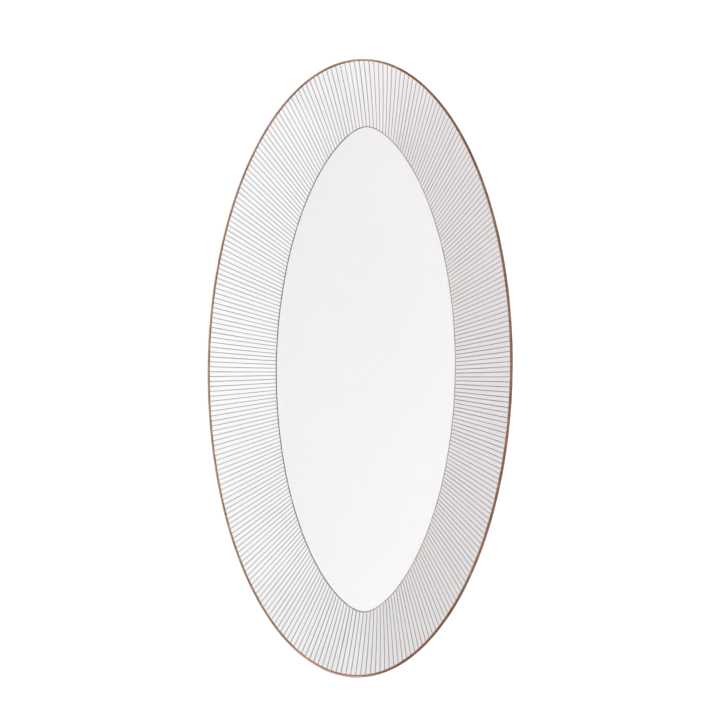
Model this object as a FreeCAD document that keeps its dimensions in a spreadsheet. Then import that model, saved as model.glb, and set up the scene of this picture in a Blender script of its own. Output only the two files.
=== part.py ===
import FreeCAD, Part
import math
import os
import Sketcher

# Long oval bone-china serving platter with a broad, gently dished rim.
# Millimetres. Origin under the centre of the platter, on the plane it stands on.
# +X is the long axis, +Z is up, and the hairline rays are counted from the -Y side.
#
# Every horizontal section of the rim is the lip ellipse moved inwards by a constant
# distance, so each piece is one vertical section carried round that ellipse. A point of
# the section is given as (inset, height): inset is measured in plan from the lip outline.

V = FreeCAD.Vector
doc = FreeCAD.newDocument("oval_platter")

# ---------------------------------------------------------------- driving sizes
SIZES = [
    ("half_length", 194.85, "centre to the glazed lip along X"),
    ("half_width", 98.8, "centre to the glazed lip along Y"),
    ("rim_width", 40.2, "plan distance from the lip to the verge, the same all round"),
    ("lip_centre_height", 26.0, "height of the centre of the rolled lip"),
    ("lip_radius", 1.2, "rolled lip, outside of the glaze"),
    ("well_height", 7.4, "glazed floor of the well"),
    ("verge_blend", 1.7, "half width of the soft corner at the verge"),
    ("verge_slope", 0.44, "rise over run of the rim just outside the verge"),
    ("under_height", 3.0, "glazed underside inside the foot ring"),
    ("back_slope", 0.50, "rise over run of the back of the rim at the foot"),
    ("back_inset", 36.3, "inset where the back of the rim turns into the foot"),
    ("back_height", 4.15, "height of the back of the rim there"),
    ("foot_outer_inset", 38.95, "outer edge of the foot where it stands"),
    ("foot_inner_inset", 41.45, "inner edge of the foot where it stands"),
    ("foot_draft", 0.20, "taper of both foot walls"),
    ("foot_corner", 0.45, "rounded corners of the bare foot"),
    ("glaze_line", 0.55, "height at which the glaze stops on the foot"),
    ("glaze_film", 0.40, "glaze, drawn thicker than fired glaze"),
    ("flat_inset", 45.0, "inset from which floor and underside are flat"),
    ("gold_film", 0.15, "fired gold, drawn thicker than it is"),
    ("band_face_angle", 8.0, "lip band: degrees past the crest towards the well"),
    ("band_back_angle", 112.0, "lip band: degrees past the crest round the outside"),
    ("verge_line_width", 0.65, "gold line at the verge"),
    ("hairline_count", 296.0, "platinum rays round the rim"),
    ("hairline_width", 0.42, "width of one ray"),
    ("hairline_film", 0.12, "platinum, drawn thicker than it is"),
    ("hairline_from", 1.45, "inset of the outer end of each ray"),
    ("hairline_to", 39.82, "inset of the inner end of each ray"),
    ("ray_start_lip", -1.05, "first ray on the lip, in ray spacings from -Y"),
    ("ray_start_verge", -1.12, "first ray on the verge, in ray spacings from -Y"),
    ("sectors", 24.0, "equal lengths of lip that the sweep is divided into"),
]
sheet = doc.addObject("Spreadsheet::Sheet", "sizes")
for row, (alias, value, note) in enumerate(SIZES, 1):
    sheet.set("A%d" % row, alias)
    sheet.set("B%d" % row, "%g" % value)
    sheet.set("C%d" % row, note)
    sheet.setAlias("B%d" % row, alias)
doc.recompute()


def size(alias):
    return float(getattr(sheet, alias))


LONG, WIDE = size("half_length"), size("half_width")
RIM, LIP_Z, LIP_R = size("rim_width"), size("lip_centre_height"), size("lip_radius")
GLAZE, GOLD, FLAT = size("glaze_film"), size("gold_film"), size("flat_inset")


# ---------------------------------------------------------------- the lip ellipse
def lip_parameters(count, start=0.0):
    """Ellipse parameters of `count` points equally spaced along the lip, from +X."""
    steps = 14400
    length, table = 0.0, [0.0]
    last = (LONG, 0.0)
    for k in range(1, steps + 1):
        a = 2 * math.pi * k / steps
        here = (LONG * math.cos(a), WIDE * math.sin(a))
        length += math.hypot(here[0] - last[0], here[1] - last[1])
        table.append(length)
        last = here
    out, k = [], 0
    for i in range(count):
        want = length * (((i + start) / count) % 1.0)
        k = 0 if want < table[k] else k
        while table[k + 1] < want:
            k += 1
        out.append(2 * math.pi * (k + (want - table[k]) / (table[k + 1] - table[k])) / steps)
    return out


def inset_point(a, inset):
    """Plan point a constant distance inside the lip ellipse."""
    nx, ny = math.cos(a) / LONG, math.sin(a) / WIDE
    n = math.hypot(nx, ny)
    return (LONG * math.cos(a) - inset * nx / n, WIDE * math.sin(a) - inset * ny / n)


def inset_of(x, y):
    """Distance of a plan point from the lip ellipse, measured inwards."""
    a = math.atan2(y / WIDE, x / LONG)
    for _ in range(40):
        ex, ey = LONG * math.cos(a), WIDE * math.sin(a)
        tx, ty = -LONG * math.sin(a), WIDE * math.cos(a)
        f = (ex - x) * tx + (ey - y) * ty
        df = tx * tx + ty * ty + (ex - x) * (-ex) + (ey - y) * (-ey)
        step = f / df
        a -= step
        if abs(step) < 1e-13:
            break
    return math.hypot(LONG * math.cos(a) - x, WIDE * math.sin(a) - y)


# ---------------------------------------------------------------- the section
def bezier(p0, p1, p2, count=9):
    """Points and unit directions along a curve with three control points."""
    out = []
    for k in range(count):
        q = k / (count - 1.0)
        x = (1 - q) ** 2 * p0[0] + 2 * q * (1 - q) * p1[0] + q * q * p2[0]
        z = (1 - q) ** 2 * p0[1] + 2 * q * (1 - q) * p1[1] + q * q * p2[1]
        dx = 2 * (1 - q) * (p1[0] - p0[0]) + 2 * q * (p2[0] - p1[0])
        dz = 2 * (1 - q) * (p1[1] - p0[1]) + 2 * q * (p2[1] - p1[1])
        n = math.hypot(dx, dz)
        out.append((x, z, dx / n, dz / n))
    return out


def meet(p, slope_p, q, slope_q):
    """Where a line through p and a line through q cross. A slope is height over inset."""
    x = (q[1] - p[1] + slope_p * p[0] - slope_q * q[0]) / (slope_p - slope_q)
    return (x, p[1] + slope_p * (x - p[0]))


well, blend, verge_slope = size("well_height"), size("verge_blend"), size("verge_slope")
face_end = (RIM - blend, well + blend * verge_slope)
face_slope = verge_slope
for _ in range(40):  # the face leaves the rolled lip tangentially
    angle = math.atan(face_slope)
    face_start = (LIP_R * (1 + math.sin(angle)), LIP_Z + LIP_R * math.cos(angle))
    mean = (face_start[1] - face_end[1]) / (face_end[0] - face_start[0])
    face_slope = 2 * mean - verge_slope
face_mid = meet(face_start, -face_slope, face_end, -verge_slope)

back_end = (size("back_inset"), size("back_height"))
back_slope = size("back_slope")
lip_back_slope = back_slope
for _ in range(40):
    angle_back = math.atan(lip_back_slope)
    back_start = (LIP_R * (1 - math.sin(angle_back)), LIP_Z - LIP_R * math.cos(angle_back))
    mean = (back_start[1] - back_end[1]) / (back_end[0] - back_start[0])
    lip_back_slope = 2 * mean - back_slope
back_mid = meet(back_start, -lip_back_slope, back_end, -back_slope)

draft, line = size("foot_draft"), size("glaze_line")
foot_out, foot_in = size("foot_outer_inset"), size("foot_inner_inset")
under = size("under_height")


def outer_wall(z):
    """Glazed outer wall of the foot: inset at height z."""
    return foot_out - GLAZE - draft * z


def inner_wall(z):
    """Glazed inner wall of the foot: inset at height z."""
    return foot_in + GLAZE + draft * z


wall_top = 1.75
outer_foot_end = (outer_wall(wall_top), wall_top)
outer_foot_mid = meet(back_end, -back_slope, outer_foot_end, -1.0 / draft)
inner_foot_end = (inner_wall(wall_top), wall_top)
inner_foot_turn = (inner_wall(under), under)
inner_foot_flat = (43.6, under)

# Glazed surface, from the floor over the lip to the foot, then under the floor.
FACE_TURN = bezier((RIM + blend, well), (RIM, well), face_end)
FACE = bezier(face_end, face_mid, face_start, 13)
BACK = bezier(back_start, back_mid, back_end, 13)
BACK_TURN = bezier(back_end, outer_foot_mid, outer_foot_end)
INNER_TURN = bezier(inner_foot_end, inner_foot_turn, inner_foot_flat)


def lip_arc(radius, start_angle, end_angle):
    """Three points of an arc about the lip centre; angles from the crest, outwards positive."""
    out = []
    for q in (start_angle, (start_angle + end_angle) / 2, end_angle):
        out.append((LIP_R - radius * math.sin(q), LIP_Z + radius * math.cos(q)))
    return out


def to_space(p):
    """A section point, drawn at the +X end of the platter."""
    return V(LONG - p[0], 0, p[1])


def spline(stations, inward):
    """The glazed curve (inward 0), or the clay under it (inward = film), as (edge, start, end).

    The clay lies to the left of the direction of travel, seen with the inset to the right.
    """
    points = [(x - inward * dz, z + inward * dx) for x, z, dx, dz in stations]
    curve = Part.BSplineCurve()
    first, last = stations[0], stations[-1]
    curve.interpolate(Points=[to_space(p) for p in points],
                      InitialTangent=V(-first[2], 0, first[3]),
                      FinalTangent=V(-last[2], 0, last[3]))
    return curve.toShape(), points[0], points[-1]


def segment(p, q):
    return Part.makeLine(to_space(p), to_space(q))


def arc(points):
    a, b, c = (to_space(p) for p in points)
    return Part.Arc(a, b, c).toShape()


def backwards(stations):
    return [(x, z, -dx, -dz) for x, z, dx, dz in reversed(stations)]


def face_height(inset):
    """Glazed height of the lip, the rim or the verge corner at an inset."""
    if inset < face_start[0]:
        return LIP_Z + math.sqrt(LIP_R ** 2 - (inset - LIP_R) ** 2)
    if inset < face_end[0]:
        run = inset - face_start[0]
        bend = (face_slope - verge_slope) / (2 * (face_end[0] - face_start[0]))
        return face_start[1] - face_slope * run + bend * run * run
    if inset < RIM + blend:
        q = (RIM + blend - inset) / (2 * blend)
        return well + blend * verge_slope * q * q
    return well


# Clay walls of the foot, under the glaze.
slant = math.sqrt(1 + draft * draft)


def outer_clay(z):
    return outer_wall(z) + GLAZE * slant


def inner_clay(z):
    return inner_wall(z) - GLAZE * slant


def chain(*pieces):
    """One wire from edges and points; a straight edge fills each gap."""
    edges, at = [], None
    for piece in pieces:
        if isinstance(piece, tuple) and len(piece) == 2:
            edge, start, end = None, piece, piece
        else:
            edge, start, end = piece
        if at is not None and math.hypot(at[0] - start[0], at[1] - start[1]) > 1e-6:
            edges.append(segment(at, start))
        if edge is not None:
            edges.append(edge)
        at = end
    return Part.Wire(edges)


def lip(inward, back_to_front=False):
    points = lip_arc(LIP_R - inward, -angle, math.pi - angle_back)
    if back_to_front:
        points.reverse()
    return arc(points), points[0], points[-1]


corner = size("foot_corner")
OUT_CORNER = bezier((outer_clay(corner), corner), (outer_clay(0), 0.0), (outer_clay(0) + corner, 0.0), 5)
IN_CORNER = bezier((inner_clay(0) - corner, 0.0), (inner_clay(0), 0.0), (inner_clay(corner), corner), 5)

clay_section = chain(
    (FLAT, well - GLAZE),
    spline(FACE_TURN, GLAZE), spline(FACE, GLAZE), lip(GLAZE), spline(BACK, GLAZE), spline(BACK_TURN, GLAZE),
    (outer_clay(line), line),
    spline(OUT_CORNER, 0.0), spline(IN_CORNER, 0.0),
    (inner_clay(line), line),
    spline(INNER_TURN, GLAZE),
    (FLAT, under + GLAZE),
)
outer_glaze_section = chain(
    (FLAT, well),
    spline(FACE_TURN, 0.0), spline(FACE, 0.0), lip(0.0), spline(BACK, 0.0), spline(BACK_TURN, 0.0),
    (outer_wall(line), line), (outer_clay(line), line),
    spline(backwards(BACK_TURN), -GLAZE), spline(backwards(BACK), -GLAZE), lip(GLAZE, True),
    spline(backwards(FACE), -GLAZE), spline(backwards(FACE_TURN), -GLAZE),
    (FLAT, well - GLAZE),
)
base_glaze_section = chain(
    (FLAT, under),
    spline(backwards(INNER_TURN), 0.0),
    (inner_wall(line), line), (inner_clay(line), line),
    spline(INNER_TURN, GLAZE),
    (FLAT, under + GLAZE),
)

# ---------------------------------------------------------------- sweeping a section round the lip
sectors = int(size("sectors"))
cuts = lip_parameters(sectors) + [2 * math.pi]
lip_ellipse = Part.Ellipse(V(0, 0, 0), LONG, WIDE)
lip_path = Part.Wire([lip_ellipse.toShape(cuts[k], cuts[k + 1]) for k in range(sectors)])


def swept(section):
    """A closed solid: the section carried round the lip, its open ends capped by flat faces."""
    sweep = Part.BRepOffsetAPI.MakePipeShell(lip_path)
    sweep.add(section, False, False)
    sweep.setBiNormalMode(V(0, 0, 1))
    sweep.build()
    skin = sweep.shape()
    seen = {}
    for face in skin.Faces:
        for edge in face.Edges:
            seen.setdefault(edge.hashCode(), []).append(edge)
    rims = [found[0] for found in seen.values() if len(found) == 1]
    caps = []
    for end in (section.Vertexes[0], section.Vertexes[-1]):
        ring = []
        for edge in rims:
            middle = edge.valueAt((edge.FirstParameter + edge.LastParameter) / 2)
            if abs(middle.z - end.Z) < 1e-4 and abs(inset_of(middle.x, middle.y) - FLAT) < 1e-2:
                ring.append(edge)
        caps.append(Part.Face(Part.Wire(Part.__sortEdges__(ring))))
    shell = Part.Shell(skin.Faces + caps)
    shell.sewShape()
    solid = Part.Solid(shell)
    if solid.Volume < 0:
        solid.reverse()
    return solid


def fixed_piece(label, shape):
    piece = doc.addObject("Part::Feature", label)
    piece.Label = label
    piece.Shape = shape
    piece.Placement = FreeCAD.Placement()
    return piece


# The fired clay: floor, foot ring, rim and rolled lip in one piece.
china_body = fixed_piece("china_body", swept(clay_section))
# Glaze over the face and the lip and down the back to the foot.
outer_glaze = fixed_piece("outer_glaze", swept(outer_glaze_section))
# Glaze under the floor, inside the foot ring.
base_glaze = fixed_piece("base_glaze", swept(base_glaze_section))


# ---------------------------------------------------------------- gilding, as pipes round the lip
def origin_plane(body, role):
    return [f for f in body.Origin.OriginFeatures if f.Role == role][0]


def gilded(label):
    """A body with its path round the lip and an empty section sketch at the +X end."""
    body = doc.addObject("PartDesign::Body", label)
    body.Label = label
    path = body.newObject("Sketcher::SketchObject", label + "_path")
    path.AttachmentSupport = [(origin_plane(body, "XY_Plane"), "")]
    path.MapMode = "FlatFace"
    for k in range(sectors):
        path.addGeometry(Part.ArcOfEllipse(lip_ellipse, cuts[k], cuts[k + 1]), False)
    for k in range(sectors):
        path.addConstraint(Sketcher.Constraint("Coincident", k, 2, (k + 1) % sectors, 1))
    for k in range(sectors):
        path.addConstraint(Sketcher.Constraint("Coincident", k, 3, -1, 1))
    for k in range(sectors):
        x, y = LONG * math.cos(cuts[k]), WIDE * math.sin(cuts[k])
        if abs(x) > 1e-3:
            c = path.addConstraint(Sketcher.Constraint("DistanceX", -1, 1, k, 1, x))
            path.setExpression("Constraints[%d]" % c, "sizes.half_length * %.15g" % math.cos(cuts[k]))
        if abs(y) > 1e-3:
            c = path.addConstraint(Sketcher.Constraint("DistanceY", -1, 1, k, 1, y))
            path.setExpression("Constraints[%d]" % c, "sizes.half_width * %.15g" % math.sin(cuts[k]))
    section = body.newObject("Sketcher::SketchObject", label + "_section")
    section.AttachmentSupport = [(origin_plane(body, "XZ_Plane"), "")]
    section.MapMode = "FlatFace"
    return body, path, section


def bind(sketch, constraint, expression):
    index = sketch.addConstraint(constraint)
    sketch.setExpression("Constraints[%d]" % index, expression)


def pipe(body, path, section):
    doc.recompute()
    run = body.newObject("PartDesign::AdditivePipe", body.Label + "_pipe")
    run.Profile = section
    run.Spine = (path, ["Edge%d" % (k + 1) for k in range(sectors)])
    run.Mode = "Frenet"
    body.Tip = run
    return run


# Gold on the lip: a thin crescent from just inside the crest round to the outside.
lip_band, band_path, band_section = gilded("lip_gold_band")
band_centre = V(LONG - LIP_R, LIP_Z, 0)
high = math.radians(90 + size("band_face_angle"))
low = math.radians(90 - size("band_back_angle"))


def polar(radius, turn):
    return V(band_centre.x + radius * math.cos(turn), band_centre.y + radius * math.sin(turn), 0)


up = V(0, 0, 1)
band_section.addGeometry(Part.ArcOfCircle(Part.Circle(band_centre, up, LIP_R), low, high), False)
band_section.addGeometry(Part.ArcOfCircle(Part.Circle(band_centre, up, LIP_R + GOLD), low, high), False)
band_section.addGeometry(Part.LineSegment(polar(LIP_R, low), polar(LIP_R + GOLD, low)), False)
band_section.addGeometry(Part.LineSegment(polar(LIP_R, high), polar(LIP_R + GOLD, high)), False)
for first, first_end, second, second_end in ((0, 1, 2, 1), (1, 1, 2, 2), (0, 2, 3, 1), (1, 2, 3, 2), (0, 3, 1, 3)):
    band_section.addConstraint(Sketcher.Constraint("Coincident", first, first_end, second, second_end))
bind(band_section, Sketcher.Constraint("DistanceX", -1, 1, 0, 3, band_centre.x), "sizes.half_length - sizes.lip_radius")
bind(band_section, Sketcher.Constraint("DistanceY", -1, 1, 0, 3, band_centre.y), "sizes.lip_centre_height")
bind(band_section, Sketcher.Constraint("Radius", 0, LIP_R), "sizes.lip_radius")
bind(band_section, Sketcher.Constraint("Radius", 1, LIP_R + GOLD), "sizes.lip_radius + sizes.gold_film")
for geometry, turn, text in ((2, low, "cos(90 - sizes.band_back_angle)"), (3, high, "cos(90 + sizes.band_face_angle)")):
    bind(band_section, Sketcher.Constraint("DistanceX", -1, 1, geometry, 2, polar(LIP_R + GOLD, turn).x),
         "sizes.half_length - sizes.lip_radius + (sizes.lip_radius + sizes.gold_film) * " + text)
    bind(band_section, Sketcher.Constraint("DistanceX", -1, 1, geometry, 1, polar(LIP_R, turn).x),
         "sizes.half_length - sizes.lip_radius + sizes.lip_radius * " + text)
pipe(lip_band, band_path, band_section)

# Gold at the verge: a flat line lying on the soft corner between the rim and the well.
verge_line, verge_path, verge_section = gilded("verge_gold_line")
half = size("verge_line_width") / 2


def corner_point(offset, lift):
    return V(LONG - RIM - offset, face_height(RIM + offset) + lift, 0)


for lift in (0.0, GOLD):
    verge_section.addGeometry(Part.Arc(corner_point(half, lift), corner_point(0, lift), corner_point(-half, lift)), False)
verge_section.addGeometry(Part.LineSegment(corner_point(half, 0.0), corner_point(half, GOLD)), False)
verge_section.addGeometry(Part.LineSegment(corner_point(-half, 0.0), corner_point(-half, GOLD)), False)


def arc_end(geometry, point):
    """Which end of a sketch arc is at a point."""
    return min((1, 2), key=lambda e: verge_section.getPoint(geometry, e).distanceToPoint(point))


for line_index, side in ((2, half), (3, -half)):
    for arc_index, lift, line_end in ((0, 0.0, 1), (1, GOLD, 2)):
        end = arc_end(arc_index, corner_point(side, lift))
        verge_section.addConstraint(Sketcher.Constraint("Coincident", arc_index, end, line_index, line_end))
        sign = "-" if side > 0 else "+"
        bind(verge_section, Sketcher.Constraint("DistanceX", -1, 1, line_index, line_end, corner_point(side, lift).x),
             "sizes.half_length - sizes.rim_width %s sizes.verge_line_width / 2" % sign)
        bind(verge_section, Sketcher.Constraint("DistanceY", -1, 1, line_index, line_end, corner_point(side, lift).y),
             "sizes.well_height + sizes.verge_blend * sizes.verge_slope * "
             "((sizes.verge_blend %s sizes.verge_line_width / 2) / (2 * sizes.verge_blend)) ^ 2 %s"
             % (sign, "+ sizes.gold_film" if lift else ""))
pipe(verge_line, verge_path, verge_section)


# ---------------------------------------------------------------- platinum rays on the rim
# A ray is straight in plan. Its outer end is one of 296 equal steps along the lip, and its
# inner end is one of 296 equal steps along the verge.
rays = int(size("hairline_count"))


def evenly_spaced(inset, count, first):
    """Plan points, equally spaced along the curve at an inset, counted from the -Y side."""
    steps = 14400
    table, length = [0.0], 0.0
    start = 1.5 * math.pi
    last = inset_point(start, inset)
    for k in range(1, steps + 1):
        here = inset_point(start + 2 * math.pi * k / steps, inset)
        length += math.hypot(here[0] - last[0], here[1] - last[1])
        table.append(length)
        last = here
    out = []
    for i in range(count):
        want = length * (((i + first) / count) % 1.0)
        low_k, high_k = 0, steps
        while high_k - low_k > 1:
            mid_k = (low_k + high_k) // 2
            if table[mid_k] <= want:
                low_k = mid_k
            else:
                high_k = mid_k
        part_k = (want - table[low_k]) / (table[low_k + 1] - table[low_k])
        out.append(inset_point(start + 2 * math.pi * (low_k + part_k) / steps, inset))
    return out


on_lip = evenly_spaced(0.0, rays, size("ray_start_lip"))
on_verge = evenly_spaced(RIM, rays, size("ray_start_verge"))
near, far, breadth = size("hairline_from"), size("hairline_to"), size("hairline_width")


def ray_edge(outer, inner, shift):
    """One long edge of a ray, lying on the glaze."""
    dx, dy = inner[0] - outer[0], inner[1] - outer[1]
    run = math.hypot(dx, dy)
    sx, sy = -dy / run * shift, dx / run * shift
    points = []
    for k in range(9):
        want = near + (far - near) * k / 8.0
        f = want / RIM
        for _ in range(6):  # slide along the ray to the wanted inset
            x, y = outer[0] + f * dx + sx, outer[1] + f * dy + sy
            f += (want - inset_of(x, y)) / RIM
        x, y = outer[0] + f * dx + sx, outer[1] + f * dy + sy
        points.append(V(x, y, face_height(inset_of(x, y))))
    curve = Part.BSplineCurve()
    curve.interpolate(Points=points)
    return curve.toShape()


ray_faces = []
for outer, inner in zip(on_lip, on_verge):
    ray_faces.append(Part.makeRuledSurface(ray_edge(outer, inner, breadth / 2), ray_edge(outer, inner, -breadth / 2)))
ray_pattern = fixed_piece("ray_pattern", Part.makeCompound(ray_faces))
rim_hairlines = doc.addObject("Part::Extrusion", "rim_hairlines")
rim_hairlines.Label = "rim_hairlines"
rim_hairlines.Base = ray_pattern
rim_hairlines.DirMode = "Custom"
rim_hairlines.Dir = V(0, 0, 1)
rim_hairlines.setExpression("LengthFwd", "sizes.hairline_film")
rim_hairlines.Solid = True

# ---------------------------------------------------------------- checks and files
doc.recompute()
PIECES = [china_body, outer_glaze, base_glaze, lip_band, verge_line, rim_hairlines]
for thing in doc.Objects:
    if "Invalid" in thing.State or "Error" in thing.State:
        raise RuntimeError("%s is %s" % (thing.Label, thing.State))
expected = {p.Label: 1 for p in PIECES}
expected["rim_hairlines"] = rays
for piece in PIECES:
    shape = piece.Shape
    if shape.isNull() or not shape.isValid():
        raise RuntimeError("%s has no valid shape" % piece.Label)
    if len(shape.Solids) != expected[piece.Label]:
        raise RuntimeError("%s has %d solids" % (piece.Label, len(shape.Solids)))
    if any(s.Volume <= 0 for s in shape.Solids):
        raise RuntimeError("%s has a solid with no volume" % piece.Label)

os.makedirs("parts", exist_ok=True)
for piece in PIECES:
    piece.Shape.exportStep("parts/%s.step" % piece.Label)
    box = piece.Shape.BoundBox
    print("%-16s %9.1f mm3  x %.2f..%.2f  y %.2f..%.2f  z %.2f..%.2f" % (
        piece.Label, piece.Shape.Volume, box.XMin, box.XMax, box.YMin, box.YMax, box.ZMin, box.ZMax))
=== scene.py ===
import math

import bpy
import numpy as np
from mathutils import Matrix, Vector


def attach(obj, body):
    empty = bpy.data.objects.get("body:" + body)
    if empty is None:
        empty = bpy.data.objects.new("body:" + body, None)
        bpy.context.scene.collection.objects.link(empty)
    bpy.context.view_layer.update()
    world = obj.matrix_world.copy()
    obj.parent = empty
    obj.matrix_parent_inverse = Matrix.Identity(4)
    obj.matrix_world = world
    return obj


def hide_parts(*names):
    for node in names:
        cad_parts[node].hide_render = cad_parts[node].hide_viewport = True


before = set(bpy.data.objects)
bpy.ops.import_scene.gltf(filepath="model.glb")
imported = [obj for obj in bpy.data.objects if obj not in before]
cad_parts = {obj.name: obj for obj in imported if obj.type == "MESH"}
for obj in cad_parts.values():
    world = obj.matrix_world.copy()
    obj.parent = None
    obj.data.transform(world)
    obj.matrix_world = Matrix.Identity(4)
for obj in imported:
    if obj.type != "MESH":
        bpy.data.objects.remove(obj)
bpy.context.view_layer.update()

# =====================================================================================
# Long oval bone-china platter. Everything is in metres, in the CAD frame: +X is the long
# axis, +Z is up, and the origin is under the centre, on the plane the foot stands on.
# A section of the rim is drawn in millimetres as (inset, height): inset is the plan
# distance inside the lip ellipse, and one section is the same all round the platter.
# =====================================================================================
LONG, WIDE = 194.85, 98.8            # glazed lip, half length and half width
RIM = 40.2                           # lip to verge, in plan
LIP_Z, LIP_R = 26.0, 1.2             # rolled lip
WELL, BLEND, VERGE_SLOPE = 7.4, 1.7, 0.44
UNDER = 3.0
BACK_IN, BACK_Z, BACK_SLOPE = 36.3, 4.15, 0.50
FOOT_OUT, FOOT_IN, DRAFT, CORNER, GLAZE_LINE = 38.95, 41.45, 0.20, 0.45, 0.55
GLAZE, GOLD, FLAT = 0.40, 0.15, 45.0
RAYS, RAY_LIP, RAY_VERGE = 296, -1.05, -1.12
RAY_WIDTH, RAY_FILM, RAY_FROM, RAY_TO = 0.50, 0.12, 1.25, 39.98
TAU = 2 * math.pi
rng = np.random.default_rng(713)


# ---------------------------------------------------------------- plan curves
class Plan:
    """The lip ellipse and the curves a constant distance inside it."""

    def __init__(self, steps=28800):
        a = np.linspace(0, TAU, steps + 1)
        x, y = LONG * np.cos(a), WIDE * np.sin(a)
        self.table = np.r_[0, np.cumsum(np.hypot(np.diff(x), np.diff(y)))]
        self.angles = a

    def stations(self, count):
        """Ellipse angles of points equally spaced along the lip, from +X."""
        want = np.arange(count) / count * self.table[-1]
        return np.interp(want, self.table, self.angles)

    @staticmethod
    def normal(a):
        nx, ny = np.cos(a) / LONG, np.sin(a) / WIDE
        n = np.hypot(nx, ny)
        return nx / n, ny / n

    def point(self, a, inset):
        nx, ny = self.normal(a)
        return LONG * np.cos(a) - inset * nx, WIDE * np.sin(a) - inset * ny

    @staticmethod
    def inset_of(x, y):
        a = np.arctan2(y / WIDE, x / LONG)
        for _ in range(12):
            ex, ey = LONG * np.cos(a), WIDE * np.sin(a)
            tx, ty = -LONG * np.sin(a), WIDE * np.cos(a)
            f = (ex - x) * tx + (ey - y) * ty
            df = tx * tx + ty * ty - (ex - x) * ex - (ey - y) * ey
            a = a - f / df
        return np.hypot(LONG * np.cos(a) - x, WIDE * np.sin(a) - y), a

    def evenly(self, inset, count, first, steps=28800):
        """Plan points equally spaced along the curve at an inset, counted from -Y."""
        a = 1.5 * math.pi + np.linspace(0, TAU, steps + 1)
        x, y = self.point(a, inset)
        s = np.r_[0, np.cumsum(np.hypot(np.diff(x), np.diff(y)))]
        want = ((np.arange(count) + first) / count % 1.0) * s[-1]
        return np.interp(want, s, x), np.interp(want, s, y)


plan = Plan()


# ---------------------------------------------------------------- the section
def meet(p, sp, q, sq):
    x = (q[1] - p[1] + sp * p[0] - sq * q[0]) / (sp - sq)
    return x, p[1] + sp * (x - p[0])


def bezier(p0, p1, p2, count):
    """Rows of (inset, height, direction inset, direction height)."""
    q = np.linspace(0, 1, count)[:, None]
    p0, p1, p2 = (np.array(p, float) for p in (p0, p1, p2))
    xz = (1 - q) ** 2 * p0 + 2 * q * (1 - q) * p1 + q * q * p2
    d = 2 * (1 - q) * (p1 - p0) + 2 * q * (p2 - p1)
    return np.c_[xz, d / np.linalg.norm(d, axis=1)[:, None]]


def straight(p, q, count):
    k = np.linspace(0, 1, count)[:, None]
    p, q = np.array(p, float), np.array(q, float)
    d = (q - p) / np.linalg.norm(q - p)
    return np.c_[p + (q - p) * k, np.repeat(d[None], count, 0)]


def settle(end, end_slope, back):
    """Slope at the rolled lip of a curve that leaves it tangentially and ends at end."""
    slope = end_slope
    for _ in range(60):
        g = math.atan(slope)
        start = (LIP_R * (1 + (-1 if back else 1) * math.sin(g)), LIP_Z + (-1 if back else 1) * LIP_R * math.cos(g))
        slope = 2 * (start[1] - end[1]) / (end[0] - start[0]) - end_slope
    return start, slope


face_end = (RIM - BLEND, WELL + BLEND * VERGE_SLOPE)
face_start, face_slope = settle(face_end, VERGE_SLOPE, False)
face_mid = meet(face_start, -face_slope, face_end, -VERGE_SLOPE)
back_end = (BACK_IN, BACK_Z)
back_start, lip_back_slope = settle(back_end, BACK_SLOPE, True)
back_mid = meet(back_start, -lip_back_slope, back_end, -BACK_SLOPE)
face_angle, back_angle = math.atan(face_slope), math.atan(lip_back_slope)


def outer_wall(z):
    return FOOT_OUT - GLAZE - DRAFT * z


def inner_wall(z):
    return FOOT_IN + GLAZE + DRAFT * z


WALL_TOP = 1.75
outer_end, inner_end = (outer_wall(WALL_TOP), WALL_TOP), (inner_wall(WALL_TOP), WALL_TOP)
outer_mid = meet(back_end, -BACK_SLOPE, outer_end, -1 / DRAFT)


def lip_rows(count, radius=LIP_R, start=None, end=None):
    q = np.linspace(-face_angle if start is None else start, math.pi - back_angle if end is None else end, count)
    return np.c_[LIP_R - radius * np.sin(q), LIP_Z + radius * np.cos(q), -np.cos(q), -np.sin(q)]


def joined(*rows):
    """One run of rows, with the repeated points where two pieces meet left out."""
    out = [rows[0]]
    for r in rows[1:]:
        out.append(r[1:] if np.hypot(*(r[0, :2] - out[-1][-1, :2])) < 1e-6 else r)
    return np.vstack(out)


def moved(rows, depth):
    """The same run, a depth further into the clay (to the left of its direction)."""
    out = rows.copy()
    out[:, 0] = rows[:, 0] - depth * rows[:, 3]
    out[:, 1] = rows[:, 1] + depth * rows[:, 2]
    return out


def turned(rows):
    out = rows[::-1].copy()
    out[:, 2:] *= -1
    return out


def face_height(inset):
    """Glazed height of lip, rim, verge corner or well at an inset."""
    inset = np.asarray(inset, float)
    run = inset - face_start[0]
    bend = (face_slope - VERGE_SLOPE) / (2 * (face_end[0] - face_start[0]))
    rim = face_start[1] - face_slope * run + bend * run * run
    q = np.clip((RIM + BLEND - inset) / (2 * BLEND), 0, 1)
    corner = WELL + BLEND * VERGE_SLOPE * q * q
    roll = LIP_Z + np.sqrt(np.clip(LIP_R ** 2 - (inset - LIP_R) ** 2, 0, None))
    return np.where(inset < face_start[0], roll, np.where(inset < face_end[0], rim, corner))


def face_normal(inset):
    """Unit normal of the glazed face as (towards the well, up)."""
    e = 1e-3
    d = (face_height(inset + e) - face_height(inset - e)) / (2 * e)
    n = np.sqrt(1 + d * d)
    return -d / n, 1 / n


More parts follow.
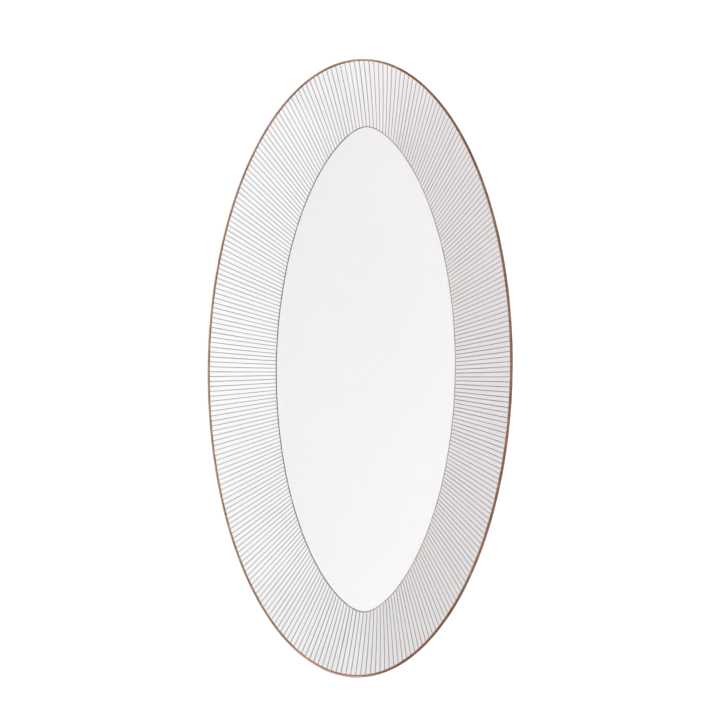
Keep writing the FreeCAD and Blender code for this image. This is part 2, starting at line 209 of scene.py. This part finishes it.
# ---------------------------------------------------------------- mesh helpers
def mesh_object(name, verts, faces, smooth_angle=None):
    me = bpy.data.meshes.new(name)
    me.from_pydata([tuple(v) for v in np.asarray(verts) * 0.001], [], [tuple(int(i) for i in f) for f in faces])
    me.validate()
    me.update()
    ob = bpy.data.objects.new(name, me)
    bpy.context.scene.collection.objects.link(ob)
    me.polygons.foreach_set("use_smooth", [True] * len(me.polygons))
    if smooth_angle is not None:
        me.set_sharp_from_angle(angle=math.radians(smooth_angle))
    return ob


AROUND = 736
A_ST = plan.stations(AROUND)


def ring(rows, angles=A_ST, offset=None):
    """Grid of points: section rows carried round the lip. offset adds (inset, height) by station."""
    pts = np.empty((len(angles), len(rows), 3))
    for j, r in enumerate(rows):
        dx = 0.0 if offset is None else offset[0][:, j]
        dz = 0.0 if offset is None else offset[1][:, j]
        x, y = plan.point(angles, r[0] + dx)
        pts[:, j, 0], pts[:, j, 1], pts[:, j, 2] = x, y, r[1] + dz
    return pts


def ring_faces(around, across, closed, base=0, flip=False):
    out = []
    last = across if closed else across - 1
    for i in range(around):
        n = (i + 1) % around
        for j in range(last):
            k = (j + 1) % across
            f = (base + i * across + j, base + n * across + j, base + n * across + k, base + i * across + k)
            out.append(f[::-1] if flip else f)
    return out


FLOOR_RINGS = 12


def floor_patch(angles, height, sag=0.0):
    """A flat floor inside the curve at inset FLAT, as quads that close on a line along X.

    Returns the inner rings of points (the outer one is the section's own end), ring by ring.
    """
    x, y = plan.point(angles, FLAT)
    spine = (abs(x).max() - abs(y).max() * 0.92) / abs(x).max()
    rings = []
    for k in range(1, FLOOR_RINGS + 1):
        s = k / FLOOR_RINGS
        s = s * (1.25 - 0.25 * s)
        rings.append(np.c_[x + (x * spine - x) * s, y * (1 - s), np.full(len(x), height - sag * (1 - (1 - s) ** 2))])
    return rings


def shell_with_floors(name, rows, top, bottom, smooth_angle=35, sag_top=0.0, sag_bottom=0.0):
    """A closed skin: the section carried round the lip, and a floor patch at each end."""
    grid = ring(rows)
    around, across = grid.shape[:2]
    verts = [grid.reshape(-1, 3)]
    faces = ring_faces(around, across, False)
    count = around * across
    for column, height, sag, up in ((0, top, sag_top, True), (across - 1, bottom, sag_bottom, False)):
        edge = [i * across + column for i in range(around)]
        for r in floor_patch(A_ST, height, sag):
            verts.append(r)
            new = list(range(count, count + around))
            count += around
            for i in range(around):
                n = (i + 1) % around
                f = (edge[i], edge[n], new[n], new[i])
                faces.append(f if up else f[::-1])
            edge = new
    ob = mesh_object(name, np.vstack(verts), faces)
    weld(ob, 2e-6)
    if smooth_angle is not None:
        ob.data.set_sharp_from_angle(angle=math.radians(smooth_angle))
    return ob


def weld(ob, distance):
    import bmesh
    bm = bmesh.new()
    bm.from_mesh(ob.data)
    bmesh.ops.remove_doubles(bm, verts=bm.verts, dist=distance)
    bmesh.ops.dissolve_degenerate(bm, edges=bm.edges, dist=1e-7)
    bmesh.ops.recalc_face_normals(bm, faces=bm.faces)
    bm.to_mesh(ob.data)
    bm.free()
    ob.data.polygons.foreach_set("use_smooth", [True] * len(ob.data.polygons))
    ob.data.update()


# ---------------------------------------------------------------- section runs
FACE_TURN = bezier((RIM + BLEND, WELL), (RIM, WELL), face_end, 11)
FACE = bezier(face_end, face_mid, face_start, 17)
LIP = lip_rows(17)
BACK = bezier(back_start, back_mid, back_end, 15)
BACK_TURN = bezier(back_end, outer_mid, outer_end, 11)
OUTER_WALL = straight(outer_end, (outer_wall(GLAZE_LINE), GLAZE_LINE), 5)
INNER_WALL = straight((inner_wall(GLAZE_LINE), GLAZE_LINE), inner_end, 5)
INNER_TURN = bezier(inner_end, (inner_wall(UNDER), UNDER), (43.6, UNDER), 11)
SLANT = math.sqrt(1 + DRAFT * DRAFT)


def outer_clay(z):
    return outer_wall(z) + GLAZE * SLANT


def inner_clay(z):
    return inner_wall(z) - GLAZE * SLANT


# The fired clay. Only its bare standing edge shows, so that edge has the detail:
# a slightly uneven, sponged corner each side.
outside = joined(straight((FLAT, WELL), (RIM + BLEND, WELL), 3), FACE_TURN, FACE, LIP, BACK, BACK_TURN, OUTER_WALL)
# the same run with fewer rows, for the faces that glaze covers
covered = joined(
    straight((FLAT, WELL), (RIM + BLEND, WELL), 2),
    bezier((RIM + BLEND, WELL), (RIM, WELL), face_end, 5),
    bezier(face_end, face_mid, face_start, 7),
    lip_rows(9),
    bezier(back_start, back_mid, back_end, 7),
    bezier(back_end, outer_mid, outer_end, 5),
    straight(outer_end, (outer_wall(GLAZE_LINE), GLAZE_LINE), 3),
)
inside = joined(INNER_WALL, INNER_TURN, straight((43.6, UNDER), (FLAT, UNDER), 3))
foot = joined(
    straight((outer_clay(GLAZE_LINE), GLAZE_LINE), (outer_clay(CORNER), CORNER), 2),
    bezier((outer_clay(CORNER), CORNER), (outer_clay(0), 0.0), (outer_clay(0) + CORNER, 0.0), 9),
    straight((outer_clay(0) + CORNER, 0.0), (inner_clay(0) - CORNER, 0.0), 5),
    bezier((inner_clay(0) - CORNER, 0.0), (inner_clay(0), 0.0), (inner_clay(CORNER), CORNER), 9),
    straight((inner_clay(CORNER), CORNER), (inner_clay(GLAZE_LINE), GLAZE_LINE), 2),
)
clay_rows = joined(moved(covered, GLAZE), foot, moved(inside, GLAZE))
china = shell_with_floors("china_body_fired", clay_rows, WELL - GLAZE, UNDER + GLAZE)


def film(rows, under, depth, at_end):
    """A closed glaze film: its free surface, and the surface it lies on."""
    under_rows = moved(under, depth)
    n = 7
    # the free edge is a small rounded roll, where the glaze draws back from the foot
    edge = rows[-1] if at_end else rows[0]
    below = under_rows[-1] if at_end else under_rows[0]
    c = (edge[:2] + below[:2]) / 2
    r = np.hypot(*(edge[:2] - below[:2])) / 2
    d = edge[2:] if at_end else -edge[2:]
    u = (edge[:2] - c) / r
    q = np.linspace(0, math.pi, n + 2)[1:-1]
    roll = np.array([c + r * (math.cos(k) * u + 0.55 * math.sin(k) * d) for k in q])
    roll = np.c_[roll, np.zeros((n, 2))]
    if at_end:
        section = np.vstack([rows, roll, turned(under_rows)])
    else:
        section = np.vstack([turned(rows), roll, under_rows])
    return section


outer_section = film(outside, covered, GLAZE, True)
outer = shell_with_floors("outer_glaze_coat", outer_section, WELL, WELL - GLAZE, smooth_angle=50)
base_section = film(inside, inside, GLAZE, False)
base = shell_with_floors("base_glaze_coat", base_section, UNDER, UNDER + GLAZE, smooth_angle=50)


# ---------------------------------------------------------------- gilding
def wobble(angles_count, seed, waves, amount):
    """A smooth closed random curve round the lip, about `amount` each way."""
    r = np.random.default_rng(seed)
    t = np.linspace(0, TAU, angles_count, endpoint=False)
    out = np.zeros(angles_count)
    for _ in range(26):
        k = int(r.integers(waves[0], waves[1]))
        out += r.normal() / math.sqrt(k) * np.sin(k * t + r.uniform(0, TAU))
    return amount * out / np.abs(out).max()


def closed_ring(name, grid):
    around, across = grid.shape[:2]
    ob = mesh_object(name, grid.reshape(-1, 3), ring_faces(around, across, True))
    weld(ob, 1e-8)
    return ob


def lip_band(name, around=2304):
    """A crescent of gold on the rolled lip. Its two edges wander a little, as banding by hand does."""
    angles = plan.stations(around)
    lo = 0.02 - face_angle + wobble(around, 21, (9, 160), 0.05)
    hi = math.radians(112.0) + wobble(around, 22, (9, 160), 0.09)
    top, low = 22, 8
    grid = np.empty((around, top + low, 3))
    s = np.linspace(0, 1, top)
    swell = np.clip(np.minimum(s, 1 - s) / 0.07, 0, 1)
    swell = swell * swell * (3 - 2 * swell)
    thick = 0.055 + wobble(around, 23, (20, 300), 0.008)
    for j in range(top):
        q = lo + (hi - lo) * s[j]
        r = LIP_R + 0.006 + thick * swell[j]
        x, y = plan.point(angles, LIP_R - r * np.sin(q))
        grid[:, j] = np.c_[x, y, LIP_Z + r * np.cos(q)]
    for j in range(low):
        f = 1 - (j + 0.5) / low
        q = lo + (hi - lo) * f
        r = LIP_R - 0.03
        x, y = plan.point(angles, LIP_R - r * np.sin(q))
        grid[:, top + j] = np.c_[x, y, LIP_Z + r * np.cos(q)]
    return closed_ring(name, grid)


def verge_line(name, around=2304):
    """A thin line of gold on the soft corner between rim and well."""
    angles = plan.stations(around)
    centre = RIM + wobble(around, 31, (3, 90), 0.05)
    half = 0.325 + wobble(around, 32, (20, 300), 0.045)
    top, low = 11, 4
    grid = np.empty((around, top + low, 3))
    s = np.linspace(-1, 1, top)
    swell = np.sqrt(np.clip(1 - s * s, 0, 1)) ** 0.6
    for j in range(top):
        d = centre + half * s[j]
        x, y = plan.point(angles, d)
        grid[:, j] = np.c_[x, y, face_height(d) + 0.004 + 0.05 * swell[j]]
    for j in range(low):
        d = centre + half * (1 - 2 * (j + 0.5) / low)
        x, y = plan.point(angles, d)
        grid[:, top + j] = np.c_[x, y, face_height(d) - 0.03]
    return closed_ring(name, grid)


def rays(name):
    """296 platinum rays: each is straight in plan and lies on the rim."""
    ox, oy = plan.evenly(0.0, RAYS, RAY_LIP)
    vx, vy = plan.evenly(RIM, RAYS, RAY_VERGE)
    across = 7
    r = np.random.default_rng(41)
    verts, faces = [], []
    # close stations over the lip's shoulder and into the verge corner, wider ones on the plain rim
    want = np.r_[np.linspace(RAY_FROM, 2.1, 7), np.linspace(2.1, 38.3, 22)[1:], np.linspace(38.3, RAY_TO, 6)[1:]]
    along = len(want)
    s = np.array([-1.0, -0.8, -0.45, 0.0, 0.45, 0.8, 1.0])
    lift = np.array([0.0, 0.6, 0.92, 1.0, 0.92, 0.6, 0.0])
    for i in range(RAYS):
        dx, dy = vx[i] - ox[i], vy[i] - oy[i]
        run = math.hypot(dx, dy)
        sx, sy = -dy / run, dx / run
        w = RAY_WIDTH / 2 * (1 + r.normal() * 0.045)
        width = w * (1 + 0.05 * np.sin(np.linspace(0, r.uniform(5, 14), along) + r.uniform(0, TAU)))
        shift = r.normal() * 0.02
        f = want / RIM
        for _ in range(5):
            d, _a = plan.inset_of(ox[i] + f * dx, oy[i] + f * dy)
            f = f + (want - d) / RIM
        cx, cy = ox[i] + f * dx + shift * sx, oy[i] + f * dy + shift * sy
        rows = []
        for j in range(across):
            x, y = cx + s[j] * width * sx, cy + s[j] * width * sy
            d, _a = plan.inset_of(x, y)
            rows.append(np.c_[x, y, face_height(d) + 0.004 + 0.030 * lift[j]])
        for j in (across - 1, across // 2, 0):
            x, y = cx + s[j] * width * sx * 0.96, cy + s[j] * width * sy * 0.96
            d, _a = plan.inset_of(x, y)
            rows.append(np.c_[x, y, face_height(d) - 0.02])
        grid = np.stack(rows, 1)
        n = grid.shape[1]
        base_i = len(verts) * along * n
        verts.append(grid.reshape(-1, 3))
        for a in range(along - 1):
            for j in range(n):
                k = (j + 1) % n
                faces.append((base_i + a * n + j, base_i + a * n + k, base_i + (a + 1) * n + k, base_i + (a + 1) * n + j))
        faces.append(tuple(base_i + j for j in range(n))[::-1])
        faces.append(tuple(base_i + (along - 1) * n + j for j in range(n)))
    ob = mesh_object(name, np.vstack(verts), faces)
    weld(ob, 1e-8)
    ob.data.set_sharp_from_angle(angle=math.radians(50))
    return ob


band = lip_band("lip_gold")
line = verge_line("verge_gold")
hairlines = rays("platinum_rays")


# ---------------------------------------------------------------- materials
def material(name):
    m = bpy.data.materials.new(name)
    m.use_nodes = True
    nt = m.node_tree
    return m, nt, nt.nodes["Principled BSDF"]


def noise(nt, scale, detail=3.0, rough=0.5, seed=0.0, stretch=(1, 1, 1)):
    tc = nt.nodes.new("ShaderNodeTexCoord")
    mp = nt.nodes.new("ShaderNodeMapping")
    mp.inputs["Location"].default_value = (seed, seed * 0.7, seed * 1.3)
    mp.inputs["Scale"].default_value = stretch
    tx = nt.nodes.new("ShaderNodeTexNoise")
    tx.inputs["Scale"].default_value = scale
    tx.inputs["Detail"].default_value = detail
    tx.inputs["Roughness"].default_value = rough
    nt.links.new(tc.outputs["Object"], mp.inputs["Vector"])
    nt.links.new(mp.outputs["Vector"], tx.inputs["Vector"])
    return tx.outputs["Fac"]


def ramp(nt, fac, stops):
    r = nt.nodes.new("ShaderNodeValToRGB")
    r.color_ramp.elements[0].position = stops[0][0]
    r.color_ramp.elements[0].color = (*stops[0][1], 1)
    r.color_ramp.elements[1].position = stops[-1][0]
    r.color_ramp.elements[1].color = (*stops[-1][1], 1)
    for p, c in stops[1:-1]:
        e = r.color_ramp.elements.new(p)
        e.color = (*c, 1)
    nt.links.new(fac, r.inputs["Fac"])
    return r.outputs["Color"]


def spread(nt, fac, lo, hi, from_lo=0.3, from_hi=0.7):
    m = nt.nodes.new("ShaderNodeMapRange")
    m.inputs["From Min"].default_value = from_lo
    m.inputs["From Max"].default_value = from_hi
    m.inputs["To Min"].default_value = lo
    m.inputs["To Max"].default_value = hi
    nt.links.new(fac, m.inputs["Value"])
    return m.outputs["Result"]


def mix(nt, a, b, fac):
    m = nt.nodes.new("ShaderNodeMix")
    m.data_type = "RGBA"
    for socket, value in ((m.inputs[6], a), (m.inputs[7], b), (m.inputs[0], fac)):
        if isinstance(value, bpy.types.NodeSocket):
            nt.links.new(value, socket)
        elif isinstance(value, (int, float)):
            socket.default_value = value
        else:
            socket.default_value = (*value, 1)
    return m.outputs[2]


def bump(nt, bsdf, layers):
    """layers: (height socket, strength, distance in metres), coarsest first."""
    last = None
    for height, strength, distance in layers:
        b = nt.nodes.new("ShaderNodeBump")
        b.inputs["Strength"].default_value = strength
        b.inputs["Distance"].default_value = distance
        nt.links.new(height, b.inputs["Height"])
        if last is not None:
            nt.links.new(last, b.inputs["Normal"])
        last = b.outputs["Normal"]
    nt.links.new(last, bsdf.inputs["Normal"])
    return last


def glaze_material(name, cool, warm, seed):
    m, nt, p = material(name)
    # faint clouding of the white
    cloud = ramp(nt, noise(nt, 14, 4, 0.55, seed), [(0.35, warm), (0.65, cool)])
    fine = ramp(nt, noise(nt, 420, 2, 0.6, seed + 3), [(0.30, (0.985, 0.985, 0.985)), (0.62, (1, 1, 1))])
    tint = nt.nodes.new("ShaderNodeMix")
    tint.data_type = "RGBA"
    tint.blend_type = "MULTIPLY"
    tint.inputs[0].default_value = 1.0
    nt.links.new(cloud, tint.inputs[6])
    nt.links.new(fine, tint.inputs[7])
    nt.links.new(tint.outputs[2], p.inputs["Base Color"])
    nt.links.new(spread(nt, noise(nt, 30, 3, 0.6, seed + 1), 0.045, 0.10), p.inputs["Roughness"])
    p.inputs["IOR"].default_value = 1.52
    p.inputs["Subsurface Weight"].default_value = 0.12
    p.inputs["Subsurface Radius"].default_value = (1.0, 0.85, 0.7)
    p.inputs["Subsurface Scale"].default_value = 0.0012
    p.inputs["Coat Weight"].default_value = 0.35
    p.inputs["Coat Roughness"].default_value = 0.03
    bump(nt, p, [
        (noise(nt, 22, 2, 0.5, seed + 7), 0.10, 0.0006),    # slow waver of the clay under the glaze
        (noise(nt, 260, 2, 0.5, seed + 9), 0.05, 0.00008),  # orange peel
    ])
    return m


def gold_material(name, seed, dark, mid, pale, worn):
    m, nt, p = material(name)
    patchy = ramp(nt, noise(nt, 60, 4, 0.6, seed), [(0.30, dark), (0.50, mid), (0.72, pale)])
    wear = spread(nt, noise(nt, 900, 3, 0.7, seed + 2), 0.0, 0.55, 0.66, 0.74)
    nt.links.new(mix(nt, patchy, worn, wear), p.inputs["Base Color"])
    p.inputs["Metallic"].default_value = 1.0
    nt.links.new(spread(nt, noise(nt, 150, 4, 0.6, seed + 1), 0.16, 0.34), p.inputs["Roughness"])
    p.inputs["Anisotropic"].default_value = 0.3
    bump(nt, p, [
        (noise(nt, 180, 3, 0.6, seed + 4), 0.25, 0.00006),
        (noise(nt, 1500, 2, 0.5, seed + 6), 0.25, 0.00002),
    ])
    return m


def platinum_material(name, seed):
    m, nt, p = material(name)
    c = ramp(nt, noise(nt, 45, 3, 0.6, seed), [(0.32, (0.345, 0.315, 0.32)), (0.68, (0.42, 0.39, 0.395))])
    thin = spread(nt, noise(nt, 700, 3, 0.7, seed + 2), 0.0, 0.5, 0.62, 0.74)
    nt.links.new(mix(nt, c, (0.62, 0.61, 0.62), thin), p.inputs["Base Color"])
    p.inputs["Metallic"].default_value = 0.65
    nt.links.new(spread(nt, noise(nt, 120, 3, 0.6, seed + 1), 0.30, 0.46), p.inputs["Roughness"])
    bump(nt, p, [(noise(nt, 900, 2, 0.5, seed + 4), 0.3, 0.00002)])
    return m


def bisque_material(name):
    m, nt, p = material(name)
    c = ramp(nt, noise(nt, 90, 5, 0.65, 3.1), [(0.30, (0.70, 0.66, 0.59)), (0.60, (0.80, 0.77, 0.71)), (0.78, (0.84, 0.82, 0.77))])
    scuff = spread(nt, noise(nt, 240, 4, 0.75, 8.3), 0.0, 0.45, 0.60, 0.72)
    nt.links.new(mix(nt, c, (0.42, 0.40, 0.38), scuff), p.inputs["Base Color"])
    nt.links.new(spread(nt, noise(nt, 300, 2, 0.5, 1.2), 0.62, 0.86), p.inputs["Roughness"])
    bump(nt, p, [
        (noise(nt, 1400, 4, 0.7, 4.4), 0.55, 0.00005),
        (noise(nt, 4200, 2, 0.6, 6.4), 0.45, 0.00002),
    ])
    return m


FACE_WHITE = glaze_material("glaze_white", (0.850, 0.852, 0.862), (0.842, 0.842, 0.846), 1.0)
BASE_WHITE = glaze_material("glaze_white_under", (0.845, 0.845, 0.850), (0.835, 0.833, 0.832), 11.0)
LIP_GOLD = gold_material("burnished_gold", 2.0, (0.39, 0.245, 0.17), (0.50, 0.325, 0.23), (0.61, 0.425, 0.32), (0.70, 0.575, 0.47))
LINE_GOLD = gold_material("pale_gold", 5.0, (0.60, 0.465, 0.35), (0.69, 0.545, 0.415), (0.79, 0.645, 0.50), (0.85, 0.77, 0.66))
RAY_GREY = platinum_material("platinum", 9.0)
BISQUE = bisque_material("bare_bone_china")

for piece, mat, node, slot in (
    (china, BISQUE, "china_body", "bone_china"),
    (outer, FACE_WHITE, "outer_glaze", "glaze"),
    (base, BASE_WHITE, "base_glaze", "glaze"),
    (band, LIP_GOLD, "lip_gold_band", "gold"),
    (line, LINE_GOLD, "verge_gold_line", "gold"),
    (hairlines, RAY_GREY, "rim_hairlines", "platinum"),
):
    piece.data.materials.append(mat)
    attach(piece, "root")
    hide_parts(node)


# ---------------------------------------------------------------- floor, light, camera
def swept_floor():
    """A flat disc that sweeps up into a low wall a few metres out, just under the foot."""
    me = bpy.data.meshes.new("floor")
    radii = [0.0, 0.3, 0.6, 1.2, 2.2, 3.2]
    rows = [(r, 0.0) for r in radii[1:]] + [(3.2 + 1.6 * math.sin(q), 1.6 * (1 - math.cos(q))) for q in np.radians(np.linspace(6, 60, 10))]
    around = 96
    verts = [(0.0, 0.0, -0.00004)]
    for r, z in rows:
        verts += [(r * math.cos(TAU * i / around), r * math.sin(TAU * i / around), z - 0.00004) for i in range(around)]
    faces = [(0, 1 + i, 1 + (i + 1) % around) for i in range(around)]
    for k in range(len(rows) - 1):
        for i in range(around):
            p, q = 1 + k * around + i, 1 + k * around + (i + 1) % around
            faces.append((p, p + around, q + around, q))
    me.from_pydata(verts, [], faces)
    me.polygons.foreach_set("use_smooth", [True] * len(me.polygons))
    ob = bpy.data.objects.new("floor", me)
    bpy.context.scene.collection.objects.link(ob)
    return ob


floor = swept_floor()
m, nt, p = material("pale_floor")
nt.links.new(ramp(nt, noise(nt, 3, 2, 0.5, 2.0), [(0.3, (0.72, 0.72, 0.72)), (0.7, (0.74, 0.74, 0.74))]), p.inputs["Base Color"])
p.inputs["Roughness"].default_value = 0.9
p.inputs["Specular IOR Level"].default_value = 0.1
p.inputs["Emission Color"].default_value = (1, 1, 1, 1)
p.inputs["Emission Strength"].default_value = 0.45
floor.data.materials.append(m)


def area(name, place, aim, size, power, colour=(1, 1, 1)):
    data = bpy.data.lights.new(name, "AREA")
    data.shape = "RECTANGLE"
    data.size, data.size_y = size
    data.energy = power
    data.color = colour
    ob = bpy.data.objects.new(name, data)
    bpy.context.scene.collection.objects.link(ob)
    ob.location = place
    ob.rotation_euler = (Vector(aim) - Vector(place)).to_track_quat("-Z", "Y").to_euler()
    return ob


# soft boxes: name, bearing and height in degrees, distance and side in metres, watts, colour
for name, bearing, height, away, side, power, colour in (
    ("key", -90, 51, 1.9, 1.3, 22.5, (0.95, 0.997, 1.0)),
    ("end", 180, 45, 1.0, 0.8, 2.9, (1.0, 0.995, 1.0)),
    ("overhead", 0, 90, 1.9, 1.3, 10.5, (1.0, 0.985, 0.970)),
    ("warm_fill", 90, 25, 1.9, 1.3, 0.9, (1.0, 0.05, 0.05)),
):
    b, h = math.radians(bearing), math.radians(height)
    box = area(name, (away * math.cos(h) * math.cos(b), away * math.cos(h) * math.sin(b), away * math.sin(h)), (0, 0, 0), (side, side), power, colour)
    box.visible_glossy = False

# three reflectors that only show as reflections: one away from the key, one beside it, a weak one at the far end
for name, bearing, height, size, power in (
    ("reflector", 90, 58, (1.8, 0.75), 2.3),
    ("sheen", -90, 56, (1.6, 0.7), 2.7),
    ("far_sheen", 8, 29, (0.9, 0.8), 1.1),
):
    b, h = math.radians(bearing), math.radians(height)
    card = area(name, (1.9 * math.cos(h) * math.cos(b), 1.9 * math.cos(h) * math.sin(b), 1.9 * math.sin(h)), (0, 0, 0), size, power)
    card.visible_diffuse = False

# cards held for the gilded lip alone: they lighten its near end, its left side and its far end
gilt = bpy.data.collections.new("gilt_lip_only")
gilt.objects.link(band)
for name, bearing, height, size, power in (
    ("gilt_near", 146, 38, (1.0, 1.3), 7.4),
    ("gilt_left", 88, 37, (1.6, 1.0), 4.5),
    ("gilt_far", 30, 38, (1.2, 1.0), 4.5),
):
    b, h = math.radians(bearing), math.radians(height)
    card = area(name, (1.9 * math.cos(h) * math.cos(b), 1.9 * math.cos(h) * math.sin(b), 1.9 * math.sin(h)), (0, 0, 0), size, power, (1.0, 0.94, 0.90))
    card.visible_diffuse = False
    card.light_linking.receiver_collection = gilt

world = bpy.data.worlds.new("studio")
bpy.context.scene.world = world
world.use_nodes = True
wn = world.node_tree
wn.nodes["Background"].inputs["Color"].default_value = (1.0, 0.895, 0.885, 1)


def vector_math(operation, a, b=None):
    n = wn.nodes.new("ShaderNodeVectorMath")
    n.operation = operation
    for socket, value in zip(n.inputs, (a, b)):
        if isinstance(value, bpy.types.NodeSocket):
            wn.links.new(value, socket)
        elif value is not None:
            socket.default_value = value
    return n.outputs["Value"] if operation == "DOT_PRODUCT" else n.outputs["Vector"]


def smooth(value, from_lo, from_hi, lo, hi):
    n = wn.nodes.new("ShaderNodeMapRange")
    n.interpolation_type = "SMOOTHSTEP"
    for key, v in (("From Min", from_lo), ("From Max", from_hi), ("To Min", lo), ("To Max", hi)):
        n.inputs[key].default_value = v
    wn.links.new(value, n.inputs["Value"])
    return n.outputs["Result"]


def times(a, b):
    n = wn.nodes.new("ShaderNodeMath")
    n.operation = "MULTIPLY"
    for socket, value in zip(n.inputs, (a, b)):
        if isinstance(value, bpy.types.NodeSocket):
            wn.links.new(value, socket)
        else:
            socket.default_value = value
    return n.outputs[0]


# the room: an even grey with darker gaps between the soft boxes and a lighter wall at the near end
direction = wn.nodes.new("ShaderNodeTexCoord").outputs["Generated"]
level = vector_math("NORMALIZE", vector_math("MULTIPLY", direction, (1, 1, 0)))
low = smooth(vector_math("DOT_PRODUCT", direction, (0, 0, 1)), 0.70, 0.93, 1.0, 0.0)
room = None
for bearing, half, edge, factor in ((-8, 5, 5, 0.03), (-172, 6, 5, 0.03), (-90, 24, 16, 0.25), (142, 20, 18, 2.6)):
    b = math.radians(bearing)
    toward = vector_math("DOT_PRODUCT", level, (math.cos(b), math.sin(b), 0))
    sector = times(smooth(toward, math.cos(math.radians(half + edge)), math.cos(math.radians(half)), 0.0, factor - 1.0), low)
    one = wn.nodes.new("ShaderNodeMath")
    one.operation = "ADD"
    wn.links.new(sector, one.inputs[0])
    one.inputs[1].default_value = 1.0
    room = one.outputs[0] if room is None else times(room, one.outputs[0])
wn.links.new(times(room, 0.28), wn.nodes["Background"].inputs["Strength"])

PX = 1.594999                                   # picture px per mm at the plane of the lip
FOCAL = 2304.3                                  # px
TH, PS, RO = (math.radians(v) for v in (14.405, -5.3856, -0.285))
AT = (357.287, 363.779)                         # where the middle of the lip's plane falls
back = Vector((math.sin(PS), -math.cos(PS) * math.sin(TH), math.cos(PS) * math.cos(TH)))
right = Vector((0, -math.cos(TH), -math.sin(TH)))
up = Vector((math.cos(PS), math.sin(PS) * math.sin(TH), -math.sin(PS) * math.cos(TH)))
right, up = math.cos(RO) * right - math.sin(RO) * up, math.sin(RO) * right + math.cos(RO) * up
target = Vector((0, 0, LIP_Z * 0.001))
distance = FOCAL / PX * 0.001
cam_data = bpy.data.cameras.new("camera")
cam = bpy.data.objects.new("camera", cam_data)
bpy.context.scene.collection.objects.link(cam)
cam.location = target + back * distance
# the middle of the picture lies a few px beside the platter's middle: turn the camera by that
aim = (-back + right * ((359.5 - AT[0]) / FOCAL) + up * ((AT[1] - 359.5) / FOCAL)).normalized()
z_axis = -aim
x_axis = (right - right.dot(z_axis) * z_axis).normalized()
y_axis = z_axis.cross(x_axis)
cam.rotation_euler = Matrix((x_axis, y_axis, z_axis)).transposed().to_euler()
cam_data.sensor_width = 36.0
cam_data.lens = FOCAL / 720 * 36.0
cam_data.clip_start, cam_data.clip_end = 0.05, 50
cam_data.dof.use_dof = False
bpy.context.scene.camera = cam

view = bpy.context.scene.view_settings
view.view_transform = "Standard"
view.look = "None"
view.exposure = 0.0
view.gamma = 1.0

bpy.context.view_layer.update()
